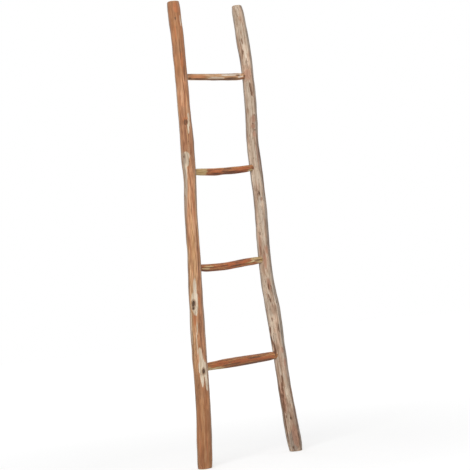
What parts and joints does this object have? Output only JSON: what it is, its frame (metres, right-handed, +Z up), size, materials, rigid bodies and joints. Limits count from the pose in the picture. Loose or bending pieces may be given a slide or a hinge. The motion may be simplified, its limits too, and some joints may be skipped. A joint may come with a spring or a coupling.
{
  "type": "decorative branch ladder",
  "caption": "Rustic leaning ladder of crooked peeled branches: two tapering stems joined by whittled round rungs, for hanging textiles.",
  "frame": {"origin": "on the floor plane, midway between the centres of the two feet, below the middle of the ladder", "axes": "+Z up along the ladder, +X from the left stem to the right stem as the front is seen, +Y backwards to the wall, the front faces -Y"},
  "size_m": [0.4269, 0.0597, 1.5],
  "materials": {
    "left_rail_wood": "peeled heartwood, orange-brown, satin",
    "right_rail_wood": "peeled sapwood, grey-beige, satin",
    "rung_wood": "peeled branch, red-brown, satin, pale where whittled",
    "nail_steel": "dull wire nail"
  },
  "bodies": {
    "root": {"left_rail": "left_rail_wood", "right_rail": "right_rail_wood", "top_rung": "rung_wood", "upper_rung": "rung_wood", "lower_rung": "rung_wood", "bottom_rung": "rung_wood", "nail_top_left": "nail_steel", "nail_top_right": "nail_steel", "nail_upper_left": "nail_steel", "nail_upper_right": "nail_steel", "nail_lower_left": "nail_steel", "nail_lower_right": "nail_steel", "nail_bottom_left": "nail_steel", "nail_bottom_right": "nail_steel"}
  },
  "joints": []
}
